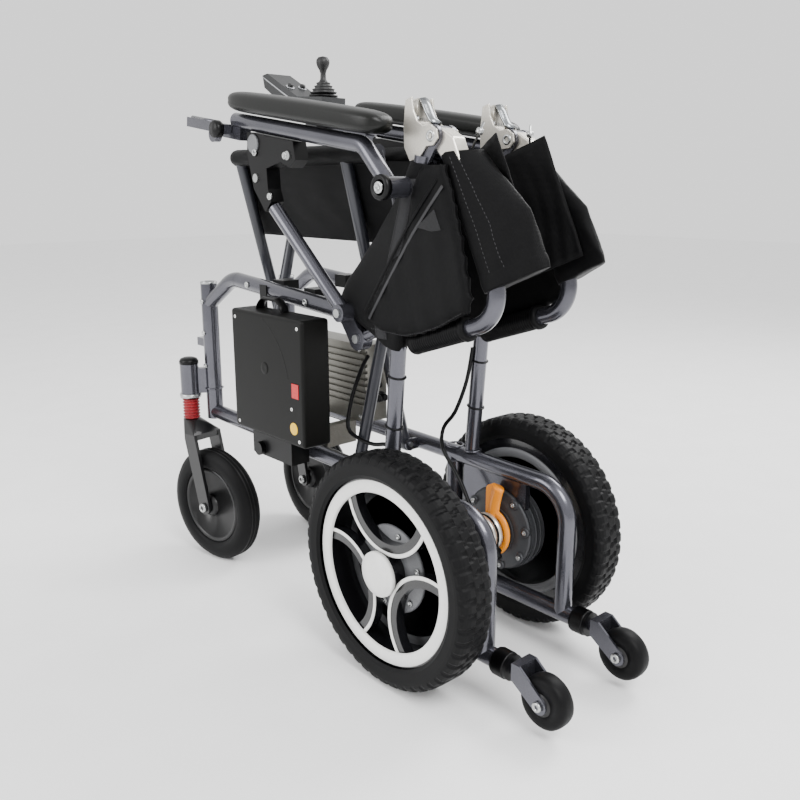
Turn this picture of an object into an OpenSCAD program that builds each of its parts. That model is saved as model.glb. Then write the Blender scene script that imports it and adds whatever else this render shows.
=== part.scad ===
// Folding power wheelchair, folded sideways on its cross braces, backrest folded down.
// Millimetres, +Z up, +Y to the rear, +X to the user's left.
// Heights count from the floor. Lengths along Y count from the rear axle, then shift by centre_y.

/* [Wheels] */
// Rear wheel outside diameter
rear_d = 316; // [260:1:340]
// Rear tyre width
rear_tyre_w = 54; // [40:1:60]
// Width of each curved spoke of the rear rim
spoke_w = 16; // [12:1:20]
// Caster wheel diameter
caster_d = 198; // [160:1:210]
// Caster wheel width
caster_w = 38; // [30:1:44]
// Anti-tip wheel diameter
antitip_d = 68; // [50:1:76]

/* [Side frames] */
// Distance from the mid plane to each side frame when folded
frame_half = 80; // [78:1:100]
// Main frame tube diameter
tube_d = 25; // [22:1:28]
// Front post tube diameter
post_d = 28; // [26:1:32]
// Bore of the front post for a footrest hanger
hanger_bore_d = 22; // [18:0.5:23]
// Backrest cane tube diameter
cane_d = 22; // [18:1:25]
// Length from the rear axle forward to the front post
post_y = 533; // [500:1:560]
// Height of the lower frame tube
low_z = 250; // [240:1:262]
// Height of the top frame tube at its front bend
top_z = 497; // [480:1:520]
// Height of the bottom tube that holds the anti-tip stem
bottom_z = 66; // [60:1:80]

/* [Cross brace] */
// Brace length between its lower pivot and the seat rail
brace_l = 451; // [440:1:470]
// Brace bar diameter
bar_d = 18; // [14:1:20]
// Seat rail diameter
rail_d = 22; // [18:1:24]
// Inset of the brace pivots from the side frame plane
brace_in = 24; // [24:1:30]

/* [Backrest and armrests] */
// Height of the backrest fold joint
fold_z = 702; // [690:1:730]
// Armrest pad length
pad_l = 340; // [300:1:360]
// Armrest pad width
pad_w = 52; // [44:1:58]
// Armrest pad thickness
pad_t = 30; // [24:1:34]
// Push grip length
grip_l = 104; // [90:1:112]
// Thickness of the upholstery sheets
cloth_t = 3; // [2:0.5:3]

/* [Battery and controls] */
// Battery case thickness across the chair
battery_w = 48; // [40:1:52]
// Battery case length along the chair
battery_l = 183; // [150:1:190]
// Battery case height
battery_h = 184; // [150:1:188]
// Joystick housing width
joy_w = 50; // [48:1:64]
// Joystick stick height above its housing
stick_h = 64; // [50:1:70]

/* [Hidden] */
$fn = 48;

run_gap = 0.05;      // radial running fit on pins and axles
gap = 0.5;           // clearance between parts that move past each other
bend_lap = 1;        // length that a straight tube runs on into its bend
bend_swell = 0.2;    // extra diameter of a bend over its straight tube
rear_r = rear_d / 2;
caster_r = caster_d / 2;
antitip_r = antitip_d / 2;
tube_r = tube_d / 2;

// rear wheel and motor, measured from the side frame plane outwards
wheel_x = frame_half + 54;
axle_r = 6;
rim_r = rear_r - 32;
spoke_c = rim_r - 22;
spoke_turn = 87;
drum_r = 62;
drum_x0 = frame_half - 4;
shaft_r = 12;
clamp_r = 26;        // clamp on the inner end of the motor shaft
lever_x0 = drum_x0 - 20.5;
drum_x1 = wheel_x - rear_tyre_w / 2 - 3;

// side frame outline, (y, z)
loop_y = 118;
loop_front_y = -96;
top_end = [-150, top_z - 23];
top_bend = [-452, top_z];
bend_r = 50;
collar_y0 = 140;
collar_y1 = 166;

// caster stem
stem_x = frame_half + 34;
stem_y = -post_y - 23;
trail = 56;
yaw_left = 9.7;
yaw_right = 2.9;
head_d = 32;
head_z0 = 284;
head_z1 = 345;
spring_z0 = 246;
crown_z0 = caster_d + 18;
fork_in = caster_w / 2 + 4;
blade_t = 6;

// anti-tip stem and wheel
antitip_axle = [219, antitip_r + 12];
stem_r = 8;

// backrest cane, (y, z)
cane_foot = [-62, low_z];
cane_knee = [-45, low_z + 222];
cane_top = [-2, fold_z - 22];
fold_y = 16;
lever_y = -14;
upper_x = frame_half - 12;
upper_start = [32, fold_z - 8];
upper_bend = [126, fold_z - 205];
upper_end = [-30, fold_z - 257];

// armrest, plane x and pivot
arm_x = frame_half + 37;
arm_pivot = [-20, 643];
arm_bend = [-70, 694];
arm_front = [-400, 743];
arm_tilt = atan2(arm_front[1] - arm_bend[1], arm_bend[0] - arm_front[0]);
sleeve_r = 13;
pin_r = 8;
catch_y = -255;

// cross brace
pivot_x = frame_half - brace_in;
pivot_z = low_z;
brace_angle = asin(2 * pivot_x / brace_l);
rail_z = pivot_z + brace_l * cos(brace_angle);
bars_a = [-430, -160];
bars_b = [-454, -184];
ear_t = 4;
rail_y0 = -466;
rail_y1 = -112;

// seat leaves, (x, z) of the fold lines on the left
leaf_gap = 8;
seat_hinge = [pivot_x - rail_d / 2 - 0.5, rail_z - 2];
seat_tip = [11, rail_z - 121];
seat_inner_l = 29.5;
seat_inner_dir = [-0.13, 0.99];

// backrest leaves, measured square to the cane
lean = atan2(cane_top[0] - cane_knee[0], cane_top[1] - cane_knee[1]);
back_x = frame_half - cane_d / 2 - 3;
back_leaf_w = 96;
back_leaf_angle = 63;
back_inner_w = 58;
back_inner_angle = 78.5;
back_l0 = 6;
back_l1 = 196;
top_lean = atan2(upper_bend[0] - upper_start[0], upper_start[1] - upper_bend[1]);
top_x = upper_x - cane_d / 2 - 3;
top_leaf_w = 50;
top_inner_w = 90;
top_leaf_angle = 78.5;
top_inner_angle = 72.5;
top_l0 = 12;
top_l1 = 166;

// battery
battery_x0 = frame_half + tube_r + 2.5;
battery_y0 = -359;
battery_z0 = 281;

// joystick
joy_top = 792;
joy_y = -458;
joy_nose = -605;
button_y = -540;
button_z = 806;
button_tilt = -27;

// cables held between the frame, the controller and the motors
cable_r = 3;
cable_steps = 4;
cable_points_left = [[8, -196, 396], [30, -186, 380], [52, -182, 340], [64, -176, 300], [64, -150, 288],
    [62, -120, 286], [60, -84, 290], [58, -58, 250], [51, -36, 212], [46, -22, 174]];
cable_points_right = [[67, -52, 420], [64, -60, 370], [58, -76, 322], [52, -94, 294], [50, -92, 262],
    [50, -56, 222], [46, -22, 174]];

// the whole object is centred on its own length
rear_end = antitip_axle[0] + antitip_r;
front_end = min(joy_nose, stem_y + trail * cos(yaw_left) - caster_r);
centre_y = -(front_end + rear_end) / 2;

frame_paint = [0.42, 0.42, 0.46];
black_nylon = [0.08, 0.08, 0.08];
cast_cream = [0.82, 0.8, 0.75];
cloth_black = [0.1, 0.1, 0.11];

// ---- shared shapes ----

module centred() {
    translate([0, centre_y, 0]) children();
}

module on_side(s) {
    centred() mirror([s < 0 ? 1 : 0, 0, 0]) children();
}

// draws a flat (y, z) outline in the plane at x
module side_plane(x) {
    translate([x, 0, 0]) rotate([90, 0, 90]) children();
}

module lateral(x0, x1, y, z, r) {
    translate([x0, y, z]) rotate([0, 90, 0]) cylinder(h = x1 - x0, r = r);
}

function unit(v) = v / norm(v);

// straight round bar between two points
module rod(a, b, d) {
    v = b - a;
    translate(a)
        rotate([0, acos(v[2] / norm(v)), atan2(v[1], v[0])])
            cylinder(h = norm(v), d = d);
}

function turn(p, i) =
    let (a = unit(p[i] - p[i - 1]), b = unit(p[i + 1] - p[i]))
    atan2(a[0] * b[1] - a[1] * b[0], a[0] * b[0] + a[1] * b[1]);

function cut_back(p, i, r) =
    (i == 0 || i == len(p) - 1) ? 0 : r * tan(abs(turn(p, i)) / 2);

// bent tube along a flat path with round bends
module bent_tube(p, r, d) {
    for (i = [0 : len(p) - 2]) {
        v = unit(p[i + 1] - p[i]);
        a = p[i] + v * (cut_back(p, i, r) - (i == 0 ? 0 : bend_lap));
        b = p[i + 1] - v * (cut_back(p, i + 1, r) - (i == len(p) - 2 ? 0 : bend_lap));
        translate([a[0], a[1], 0])
            rotate([0, 90, atan2(v[1], v[0])])
                cylinder(h = norm(b - a), d = d);
    }
    for (i = [1 : len(p) - 2]) {
        v = unit(p[i] - p[i - 1]);
        w = unit(p[i + 1] - p[i]);
        t = turn(p, i);
        s = t > 0 ? 1 : -1;
        start = p[i] - v * cut_back(p, i, r);
        c = start + s * r * [-v[1], v[0]];
        from = s > 0 ? atan2(v[1], v[0]) - 90 : atan2(w[1], w[0]) + 90;
        translate([c[0], c[1], 0])
            rotate([0, 0, from])
                rotate_extrude(angle = abs(t))
                    translate([r, 0]) circle(d = d + bend_swell);
    }
}

// flat sheet that starts at a fold line and runs along dir, both in (x, z)
module seat_sheet(from, dir, start, finish) {
    u = unit(dir);
    n = [-u[1], u[0]] * cloth_t / 2;
    p = from + u * start;
    q = from + u * finish;
    translate([0, rail_y1, 0]) rotate([90, 0, 0])
        linear_extrude(height = rail_y1 - rail_y0)
            polygon([p + n, p - n, q - n, q + n]);
}

// sheet beside a cane, in the cane's own frame: x across, y to the rear, z along
module cane_sheet(x, y, angle, start, finish, l0, l1) {
    translate([x, y, l0]) rotate([0, 0, angle])
        translate([start, -cloth_t / 2, 0]) cube([finish - start, cloth_t, l1 - l0]);
}

module lower_cane_frame() {
    translate([0, cane_knee[0], cane_knee[1]]) rotate([-lean, 0, 0]) children();
}

module upper_cane_frame() {
    translate([0, upper_start[0], upper_start[1]]) rotate([top_lean - 180, 0, 0]) children();
}

// ---- side frame ----

module side_frame(s) {
    color(frame_paint) on_side(s) difference() {
        union() {
            translate([frame_half, -post_y, low_z - 4]) cylinder(h = top_z - low_z - 11, d = post_d);
            side_plane(frame_half) {
                bent_tube([[-post_y, top_z - 49], top_bend, top_end], 60, tube_d);
                bent_tube([[-post_y, low_z + 8], [loop_y, low_z - 4], [loop_y, bottom_z]], bend_r, tube_d);
                bent_tube([[loop_front_y, low_z], [loop_front_y, bottom_z], [collar_y0,
                    bottom_z]], bend_r, tube_d);
            }
            // rear ears of the top tube and the link to the cane
            lateral(frame_half - 8, frame_half + 8, top_end[0], top_end[1], 17);
            side_plane(frame_half - 8) linear_extrude(height = 16)
                polygon([top_end + [-14, -6], top_end + [16, 0], [-112, top_end[1] - 30], [-136,
                    top_end[1] - 44]]);
            lateral(frame_half - 8, frame_half + 8, -125, top_end[1] - 33, 16);
            rod([frame_half, -125, top_end[1] - 33], [frame_half, -52, low_z + 222], 16);
            // motor gusset under the lower tube
            translate([frame_half - 5, -72, low_z - 66]) cube([10, 120, 60]);
            // caster head and its bridge to the post
            translate([stem_x, stem_y, head_z0]) cylinder(h = head_z1 - head_z0, d = head_d);
            hull() {
                translate([frame_half, -post_y, head_z0 + 8]) cylinder(h = 44, d = 12, $fn = 32);
                translate([stem_x, stem_y, head_z0 + 8]) cylinder(h = 44, d = 12, $fn = 32);
            }
            // footrest catch block in front of the post
            translate([frame_half - 8, -post_y - 36, 372]) cube([16, 30, 14]);
            // ears for the brace pivots
            for (y = hinged_bars(s)) {
                translate([pivot_x, y + bar_d / 2 + 1, pivot_z]) brace_ear(brace_in);
            }
        }
        translate([frame_half, -post_y, top_z - 75]) cylinder(h = 100, d = hanger_bore_d);
        translate([stem_x, stem_y, head_z0 - 1]) cylinder(h = 50, r = pin_r + run_gap);
        lateral(drum_x0 - 1, drum_x1 + 1, 0, rear_r, drum_r);
        translate([frame_half, collar_y0 - 80, bottom_z]) rotate([-90, 0, 0])
            cylinder(h = 90, r = stem_r + run_gap);
    }
}

// bars whose lower pivots are on this side's frame
function hinged_bars(s) = s > 0 ? bars_a : bars_b;

module brace_ear(reach) {
    rotate([-90, 0, 0]) difference() {
        union() {
            cylinder(h = ear_t, r = 10);
            translate([0, -9, 0]) cube([reach, 18, ear_t]);
        }
        translate([0, 0, -1]) cylinder(h = ear_t + 2, r = 4);
    }
}

module back_cane(s) {
    color(frame_paint) on_side(s) {
        difference() {
            union() {
                side_plane(frame_half) bent_tube([cane_foot + [0.6, tube_r], cane_knee,
                    cane_top], 90, cane_d);
                lateral(frame_half, arm_x - 21, arm_pivot[0], arm_pivot[1], sleeve_r);
            }
            rod([frame_half, -125, top_end[1] - 33], [frame_half, -52, low_z + 222], 16);
        }
        lateral(arm_x - 21, arm_x + 11.5, arm_pivot[0], arm_pivot[1], pin_r);
    }
    color(cast_cream) on_side(s) {
        // fold bracket: two cheeks around the fold pin
        for (x = [upper_x - 15, upper_x + 10]) {
            side_plane(x) linear_extrude(height = 5) difference() {
                union() {
                    translate([fold_y, fold_z]) circle(r = 13);
                    polygon([[-16, fold_z - 28], [8, fold_z - 32], [fold_y + 12, fold_z - 4],
                        [fold_y - 12, fold_z + 8], [lever_y - 7, fold_z + 6], [lever_y - 8, fold_z - 10]]);
                }
                translate([fold_y, fold_z]) circle(r = 4);
                translate([lever_y, fold_z - 2]) circle(r = 3);
            }
        }
        lateral(upper_x - 15, upper_x + 15, -3, fold_z - 24, 8);
    }
}

module arm_strut(s) {
    color(frame_paint) on_side(s) {
        rod([frame_half + 18, top_end[0] + 12, top_end[1] + 3], [arm_x, catch_y - 13, 614], 20);
        lateral(frame_half + 8, frame_half + 29.5, top_end[0] + 12, top_end[1] + 3, 12);
    }
}

module nylon_fittings(s) {
    color(black_nylon) on_side(s) {
        // saddle under the armrest and the head of the strut
        translate([arm_x - 11, 0, 0]) side_plane(0) linear_extrude(height = 22)
            polygon([[-318, 690], [-316, 718.5], [-205, 702], [-200, 678], [-213, 668], [-236, 676],
                [-270, 668], [-268, 640], [-261.5, 622.5], [-276.5, 608.5], [-304, 640]]);
        // seat rail saddles on the top tube
        for (y = [-330, -250]) saddle(y);
        if (s > 0) battery_rest();
        // collar on the end of the bottom tube
        difference() {
            translate([frame_half, collar_y0, bottom_z]) rotate([-90, 0, 0])
                cylinder(h = collar_y1 - collar_y0, r = 17);
            translate([frame_half, collar_y0 - 1, bottom_z]) rotate([-90, 0, 0])
                cylinder(h = collar_y1 - collar_y0 + 2, r = stem_r + run_gap);
        }
        // cushion cap outside the armrest pivot
        difference() {
            lateral(arm_x + 11.5, arm_x + 18, arm_pivot[0], arm_pivot[1], 15);
            lateral(arm_x + 14.5, arm_x + 19, arm_pivot[0], arm_pivot[1], 7);
        }
    }
}

// rest and clamp under the battery, hook plate beside its top
module battery_rest() {
    rest_x = frame_half + tube_r;
    rest_w = battery_w - 16;
    lateral_block(rest_x, -340, low_z - 12, rest_w, 104, battery_z0 - low_z + 12 - gap);
    lateral(rest_x + rest_w, rest_x + rest_w + 8, -315, low_z - 1, 10.5);
    lateral_block(rest_x, -352, battery_z0 + battery_h - 16, 2, 18, 48);
}

module saddle(y) {
    k = (top_end[1] - top_bend[1]) / (top_end[0] - top_bend[0]);
    z = top_bend[1] + k * (y - top_bend[0]);
    difference() {
        translate([pivot_x - 10, y - 14, z - 4]) cube([28, 28, 20]);
        side_plane(frame_half) bent_tube([top_bend + [60, k * 60], top_end + [2, 0]], 60, tube_d);
    }
}

module fasteners(s) {
    color("silver") on_side(s) {
        // brace pivot pins
        for (y = hinged_bars(s)) {
            translate([pivot_x, y - bar_d / 2 - 2, pivot_z]) rotate([-90, 0, 0])
                cylinder(h = bar_d + ear_t + 5, r = 3.95);
        }
        // fold pin
        lateral(upper_x - 17, upper_x + 17, fold_y, fold_z, 3.95);
        lateral(upper_x - 16, upper_x + 16, lever_y, fold_z - 2, 2.97);
        // armrest pivot screw
        lateral(arm_x + 14.5, arm_x + 17.5, arm_pivot[0], arm_pivot[1], 5);
        // strut screws
        lateral(frame_half + 29.5, frame_half + 32.5, top_end[0] + 12, top_end[1] + 3, 6);
        lateral(frame_half + 8, frame_half + 11, -125, top_end[1] - 33, 6);
        for (q = [[-297, 655], [-217, 684]]) lateral(arm_x + 11, arm_x + 13, q[0], q[1], 6);
    }
}

// ---- drive ----

module drive_motor(s) {
    color([0.25, 0.25, 0.26]) on_side(s) {
        lateral(drum_x0, drum_x1, 0, rear_r, drum_r);
        lateral(drum_x0 - 10, drum_x0 + 1, 0, rear_r, 34);
        lateral(drum_x0 - 23, drum_x0 - 9, 0, rear_r, shaft_r);
        lateral(drum_x0 - 42, drum_x0 - 22, 0, rear_r, clamp_r);
        lateral(drum_x1 - 1, wheel_x + 16.5, 0, rear_r, axle_r);
    }
}

module clutch_lever(s) {
    color("orange") on_side(s) difference() {
        side_plane(lever_x0) linear_extrude(height = 9) {
            circle_at(0, rear_r, 19);
            translate([-9, rear_r + 10]) square([18, 52]);
            circle_at(0, rear_r + 62, 9);
        }
        lateral(lever_x0 - 1, lever_x0 + 10, 0, rear_r, shaft_r + run_gap);
    }
}

module circle_at(y, z, r) {
    translate([y, z]) circle(r = r);
}

module rear_rim(s) {
    color([0.12, 0.12, 0.12]) on_side(s) difference() {
        union() {
            translate([wheel_x, 0, rear_r]) rotate([0, 90, 0]) difference() {
                translate([0, 0, -20]) cylinder(h = 40, r = rim_r, $fn = 96);
                translate([0, 0, -21]) cylinder(h = 42, r = rim_r - 16, $fn = 96);
            }
            lateral(wheel_x - 20, wheel_x + 22, 0, rear_r, 28);
            for (k = [0 : 2]) {
                translate([wheel_x + 1, 0, rear_r]) rotate([spoke_turn + 120 * k, 0, 0]) curved_spoke();
            }
        }
        lateral(wheel_x - 21, wheel_x + 17, 0, rear_r, axle_r + run_gap);
        lateral(wheel_x - 21, wheel_x - 10, 0, rear_r, 14);
    }
}

// one bow of the rim, open to the rim and touching the hub at its middle
module curved_spoke() {
    intersection() {
        rotate([0, 90, 0]) cylinder(h = 14, r = rim_r - 12, $fn = 96);
        translate([0, spoke_c, 0]) rotate([0, 90, 0]) difference() {
            cylinder(h = 14, r = spoke_c - 26, $fn = 96);
            translate([0, 0, -1]) cylinder(h = 16, r = spoke_c - 26 - spoke_w, $fn = 96);
        }
    }
}

module rear_tyre(s) {
    color([0.1, 0.1, 0.1]) on_side(s)
        translate([wheel_x, 0, rear_r]) rotate([0, 90, 0]) rotate_extrude($fn = 96)
            tyre_profile(rim_r, rear_r, rear_tyre_w);
}

module tyre_profile(r0, r1, w) {
    c = min(12, w / 4);
    difference() {
        union() {
            translate([r0, -w / 2 + 4]) square([r1 - r0 - c, w - 8]);
            translate([r1 - c - 2, -w / 2 + c]) square([c + 2, w - 2 * c]);
            for (k = [-1, 1]) {
                translate([r1 - c, k * (w / 2 - c)]) circle(r = c);
            }
            translate([r0 + 6, -w / 2]) square([r1 - r0 - c - 6, w]);
        }
        translate([0, -w]) square([r0, 2 * w]);
    }
}

// ---- casters ----

function yaw(s) = s > 0 ? yaw_left : yaw_right;

module at_caster(s) {
    translate([stem_x, stem_y, 0]) rotate([0, 0, yaw(s)]) translate([0, trail, 0]) children();
}

module caster_spring(s) {
    color("firebrick") on_side(s) translate([stem_x, stem_y, 0]) difference() {
        union() {
            translate([0, 0, spring_z0]) cylinder(h = head_z0 - spring_z0 - gap, r = 11);
            for (k = [0 : 3]) {
                translate([0, 0, spring_z0 + 4 + k * 8]) cylinder(h = 4, r = 14);
            }
        }
        translate([0, 0, spring_z0 - 1]) cylinder(h = 60, r = pin_r + run_gap);
    }
}

module caster_fork(s) {
    color([0.1, 0.1, 0.1]) on_side(s) {
        translate([stem_x, stem_y, 0]) cylinder_between(crown_z0, head_z0 + 34, pin_r);
        translate([stem_x, stem_y, 0]) rotate([0, 0, yaw(s)]) {
            hull() {
                cylinder_between(crown_z0, spring_z0 - gap, 15, $fn = 32);
                translate([0, 26, crown_z0 + 5])
                    cube([2 * fork_in + 2 * blade_t, 26, 10], center = true);
            }
            for (k = [-1, 1]) {
                hull() {
                    translate([k * (fork_in + blade_t / 2), 26, crown_z0 + 5])
                        cube([blade_t, 26, 10], center = true);
                    translate([k * (fork_in + blade_t / 2), trail, caster_r]) rotate([0, 90, 0])
                        cylinder(h = blade_t, r = 13, center = true, $fn = 32);
                }
            }
        }
        at_caster(s) lateral(-fork_in - blade_t - 5, fork_in + blade_t + 5, 0, caster_r, 5);
    }
}

module cylinder_between(z0, z1, r) {
    translate([0, 0, z0]) cylinder(h = z1 - z0, r = r);
}

module caster_wheel(s) {
    color([0.13, 0.13, 0.13]) on_side(s) at_caster(s) difference() {
        union() {
            translate([0, 0, caster_r]) rotate([0, 90, 0]) rotate_extrude($fn = 96)
                tyre_profile(caster_r - 34, caster_r, caster_w);
            lateral(-caster_w / 2 - 2, caster_w / 2 + 2, 0, caster_r, 18);
            for (k = [0 : 4]) {
                translate([0, 0, caster_r]) rotate([k * 72, 0, 0])
                    translate([-8, -7, 14]) cube([16, 14, caster_r - 44]);
            }
        }
        lateral(-caster_w, caster_w, 0, caster_r, 5 + run_gap);
    }
}

// ---- anti-tip ----

module antitip_stem(s) {
    color(frame_paint) on_side(s) {
        translate([frame_half, collar_y0 - 70, bottom_z]) rotate([-90, 0, 0])
            cylinder(h = collar_y1 - collar_y0 + 84, r = stem_r);
        // yoke: head block and two cheeks to the axle
        translate([frame_half - 17, collar_y1 + 10, bottom_z - 6]) cube([34, 12, 24]);
        for (k = [-1, 1]) {
            hull() {
                translate([frame_half + k * 15.5 - 1.5, collar_y1 + 12, bottom_z - 6]) cube([3, 10, 24]);
                translate([frame_half + k * 15.5 - 1.5, antitip_axle[0], antitip_axle[1]])
                    rotate([0, 90, 0]) cylinder(h = 3, r = 11, $fn = 32);
            }
        }
        lateral(frame_half - 20, frame_half + 20, antitip_axle[0], antitip_axle[1], 4);
    }
}

module antitip_wheel(s) {
    color([0.13, 0.13, 0.13]) on_side(s) difference() {
        translate([frame_half, antitip_axle[0], antitip_axle[1]]) rotate([0, 90, 0])
            rotate_extrude() tyre_profile(4, antitip_r, 26);
        lateral(frame_half - 20, frame_half + 20, antitip_axle[0], antitip_axle[1], 4 + run_gap);
    }
}

// ---- armrest ----

module armrest_tube(s) {
    color(frame_paint) on_side(s) {
        difference() {
            union() {
                lateral(arm_x - 20.5, arm_x + 8.5, arm_pivot[0], arm_pivot[1], sleeve_r);
                side_plane(arm_x) bent_tube([arm_pivot, arm_bend, arm_front + [40, -6]], 30, 22);
            }
            lateral(arm_x - 22, arm_x + 12, arm_pivot[0], arm_pivot[1], pin_r + run_gap);
        }
    }
    // accessory rail, its receiver and clamp knob
    color("gray") on_side(s) {
        at_arm(-372, -17) translate([-9, -26, -9]) cube([18, 60, 18]);
        at_arm(-380, -16) translate([10, -90, -4]) cube([12, 110, 14]);
        at_arm(-368, -16) translate([22, -8, -6]) rotate([0, 90, 0]) cylinder(h = 10, r = 11);
    }
}

// frame that follows the armrest's slope: origin under the tube line at y, dz below its axis
module at_arm(y, dz) {
    translate([arm_x, arm_bend[0], arm_bend[1]]) rotate([-arm_tilt, 0, 0])
        translate([0, y - arm_bend[0], dz]) children();
}

module arm_pad(s) {
    color(black_nylon) on_side(s) at_arm(0, 12) translate([0, -40, 0]) {
        translate([-pad_w / 2, -pad_l + pad_t / 2 + 10, 0]) cube([pad_w, pad_l - pad_t, pad_t]);
        for (y = [-pad_l + pad_t / 2 + 10, 10 - pad_t / 2]) {
            translate([-pad_w / 2, y, pad_t / 2]) rotate([0, 90, 0]) cylinder(h = pad_w, d = pad_t);
        }
    }
}

// ---- folding backrest ----

module upper_cane(s) {
    color(cast_cream) on_side(s) difference() {
        union() {
            lateral(upper_x - 9.5, upper_x + 9.5, fold_y, fold_z, 12);
            side_plane(upper_x - 9.5) linear_extrude(height = 19)
                polygon([[fold_y - 4, fold_z + 11], upper_start + [8, 4], upper_start + [22, -24],
                    upper_start + [-2, -22], [fold_y - 2, fold_z - 11]]);
        }
        lateral(upper_x - 20, upper_x + 20, fold_y, fold_z, 4);
    }
    color(frame_paint) on_side(s) difference() {
        side_plane(upper_x) bent_tube([upper_start + [4, -9], upper_bend, upper_end], 40, cane_d);
        lateral(upper_x - 20, upper_x + 20, fold_y, fold_z, 13);
        side_plane(upper_x - 20) linear_extrude(height = 40)
            polygon([upper_start + [-30, 30], upper_start + [8, 4], upper_start + [22, -24],
                upper_start + [-2, -22], upper_start + [-30, -30]]);
        grip_bar(cane_d + 20, 1);
    }
}

module grip_bar(d, extra) {
    v = unit(upper_end - upper_bend);
    a = upper_end - v * grip_l;
    b = upper_end + v * extra;
    rod([upper_x, a[0], a[1]], [upper_x, b[0], b[1]], d);
}

module push_grip(s) {
    color(black_nylon) on_side(s) grip_bar(30, 0);
}

module fold_lever(s) {
    color(cast_cream) on_side(s) difference() {
        side_plane(upper_x - 9) linear_extrude(height = 18)
            polygon([[-30, fold_z], [-26, fold_z + 43], [-16, fold_z + 45], [-13, fold_z + 18],
                [-6, fold_z + 4], [-6, fold_z - 8], [-24, fold_z - 8]]);
        lateral(upper_x - 20, upper_x + 20, lever_y, fold_z - 2, 3 + run_gap);
    }
}

// ---- cross brace ----

// brace whose lower pivots are on the far side frame and whose rail is on side s
module seat_brace(s) {
    rows = s > 0 ? bars_b : bars_a;
    color([0.2, 0.2, 0.23]) on_side(s) {
        difference() {
            union() {
                translate([pivot_x, rail_y0, rail_z]) rotate([-90, 0, 0])
                    cylinder(h = rail_y1 - rail_y0, d = rail_d);
                for (y = rows) {
                    rod([-pivot_x, y, pivot_z], [pivot_x, y, rail_z], bar_d);
                    translate([-pivot_x, y - bar_d / 2 - 0.5, pivot_z]) rotate([-90, 0, 0])
                        cylinder(h = bar_d + 1, r = 11);
                }
            }
            for (y = rows) {
                translate([-pivot_x, y - bar_d, pivot_z]) rotate([-90, 0, 0])
                    cylinder(h = 2 * bar_d, r = 3.95 + run_gap);
            }
        }
    }
}

module seat_leaf(s) {
    color(cloth_black) on_side(s) seat_sheet(seat_hinge, seat_tip - seat_hinge, 2.5,
        norm(seat_tip - seat_hinge) - leaf_gap);
}

module seat_inner(s) {
    color(cloth_black) on_side(s) seat_sheet(seat_tip, seat_inner_dir, leaf_gap, seat_inner_l);
}

// ---- backrest cloth ----

module back_leaf(s) {
    color(cloth_black) on_side(s) lower_cane_frame()
        cane_sheet(back_x, 0, 180 + back_leaf_angle, 1, back_leaf_w - leaf_gap, back_l0, back_l1);
}

module back_inner(s) {
    x = back_x - back_leaf_w * cos(back_leaf_angle);
    y = -back_leaf_w * sin(back_leaf_angle);
    color(cloth_black) on_side(s) lower_cane_frame()
        cane_sheet(x, y, 180 - back_inner_angle, leaf_gap, back_inner_w, back_l0, back_l1);
}

module top_leaf(s) {
    color(cloth_black) on_side(s) upper_cane_frame()
        cane_sheet(top_x, 0, 180 + top_leaf_angle, 1, top_leaf_w - leaf_gap, top_l0, top_l1);
}

module top_inner(s) {
    x = top_x - top_leaf_w * cos(top_leaf_angle);
    y = -top_leaf_w * sin(top_leaf_angle);
    color(cloth_black) on_side(s) upper_cane_frame()
        cane_sheet(x, y, 180 - top_inner_angle, leaf_gap, top_inner_w, top_l0, top_l1);
}

// ---- battery, controller, cables ----

module battery() {
    color([0.17, 0.17, 0.16]) centred() difference() {
        translate([battery_x0, battery_y0, battery_z0]) union() {
            cube([battery_w, battery_l, battery_h]);
            translate([8, 30, battery_h]) cube([16, 8, 14]);
            translate([8, 92, battery_h]) cube([16, 8, 14]);
            translate([8, 30, battery_h + 14]) cube([16, 70, 7]);
        }
        translate([battery_x0 + battery_w - 9, -204, 352]) cube([10, 17, 22]);
    }
}

module battery_switch() {
    color("red") centred() lateral_block(battery_x0 + battery_w - 5.5, -203.5, 352.5, 6, 16, 21);
}

module lateral_block(x, y, z, dx, dy, dz) {
    translate([x, y, z]) cube([dx, dy, dz]);
}

module controller() {
    color([0.55, 0.55, 0.53]) centred() {
        difference() {
            lateral_block(-30, -350, 292, 42, 152, 120);
            for (k = [0 : 8]) lateral_block(8, -351, 318 + k * 10, 5, 154, 5);
        }
        // arms to the left lower tube
        for (y = [-330, -236]) lateral_block(12, y, low_z + 8, frame_half - 24, 14, 34);
    }
}

// smooth curve through the route's points, several steps to each stretch
function spline_point(a, b, c, d, t) =
    0.5 * (2 * b + (c - a) * t + (2 * a - 5 * b + 4 * c - d) * t * t + (3 * b - 3 * c + d - a) * t * t * t);

function spline(p, steps) = concat(
    [for (i = [0 : len(p) - 2]) for (k = [0 : steps - 1])
        spline_point(p[max(i - 1, 0)], p[i], p[i + 1], p[min(i + 2, len(p) - 1)], k / steps)],
    [p[len(p) - 1]]);

function heading(p, i) = unit(p[min(i + 1, len(p) - 1)] - p[max(i - 1, 0)]);

// round tube swept along a curve as one mesh
module swept_tube(p, r, sides) {
    n = len(p);
    rings = [for (i = [0 : n - 1])
        let (t = heading(p, i), u = unit(cross(t, [1, 0.3, 0.1])), v = cross(t, u))
        for (k = [0 : sides - 1]) p[i] + r * (u * cos(k * 360 / sides) + v * sin(k * 360 / sides))];
    walls = [for (i = [0 : n - 2]) for (k = [0 : sides - 1])
        [i * sides + k, i * sides + (k + 1) % sides, (i + 1) * sides + (k + 1) % sides,
            (i + 1) * sides + k]];
    first = [for (k = [0 : sides - 1]) sides - 1 - k];
    last = [for (k = [0 : sides - 1]) (n - 1) * sides + k];
    polyhedron(rings, concat(walls, [first, last]));
}

module cable_left() {
    color(black_nylon) centred() swept_tube(spline(cable_points_left, cable_steps), cable_r, 10);
}

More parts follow.
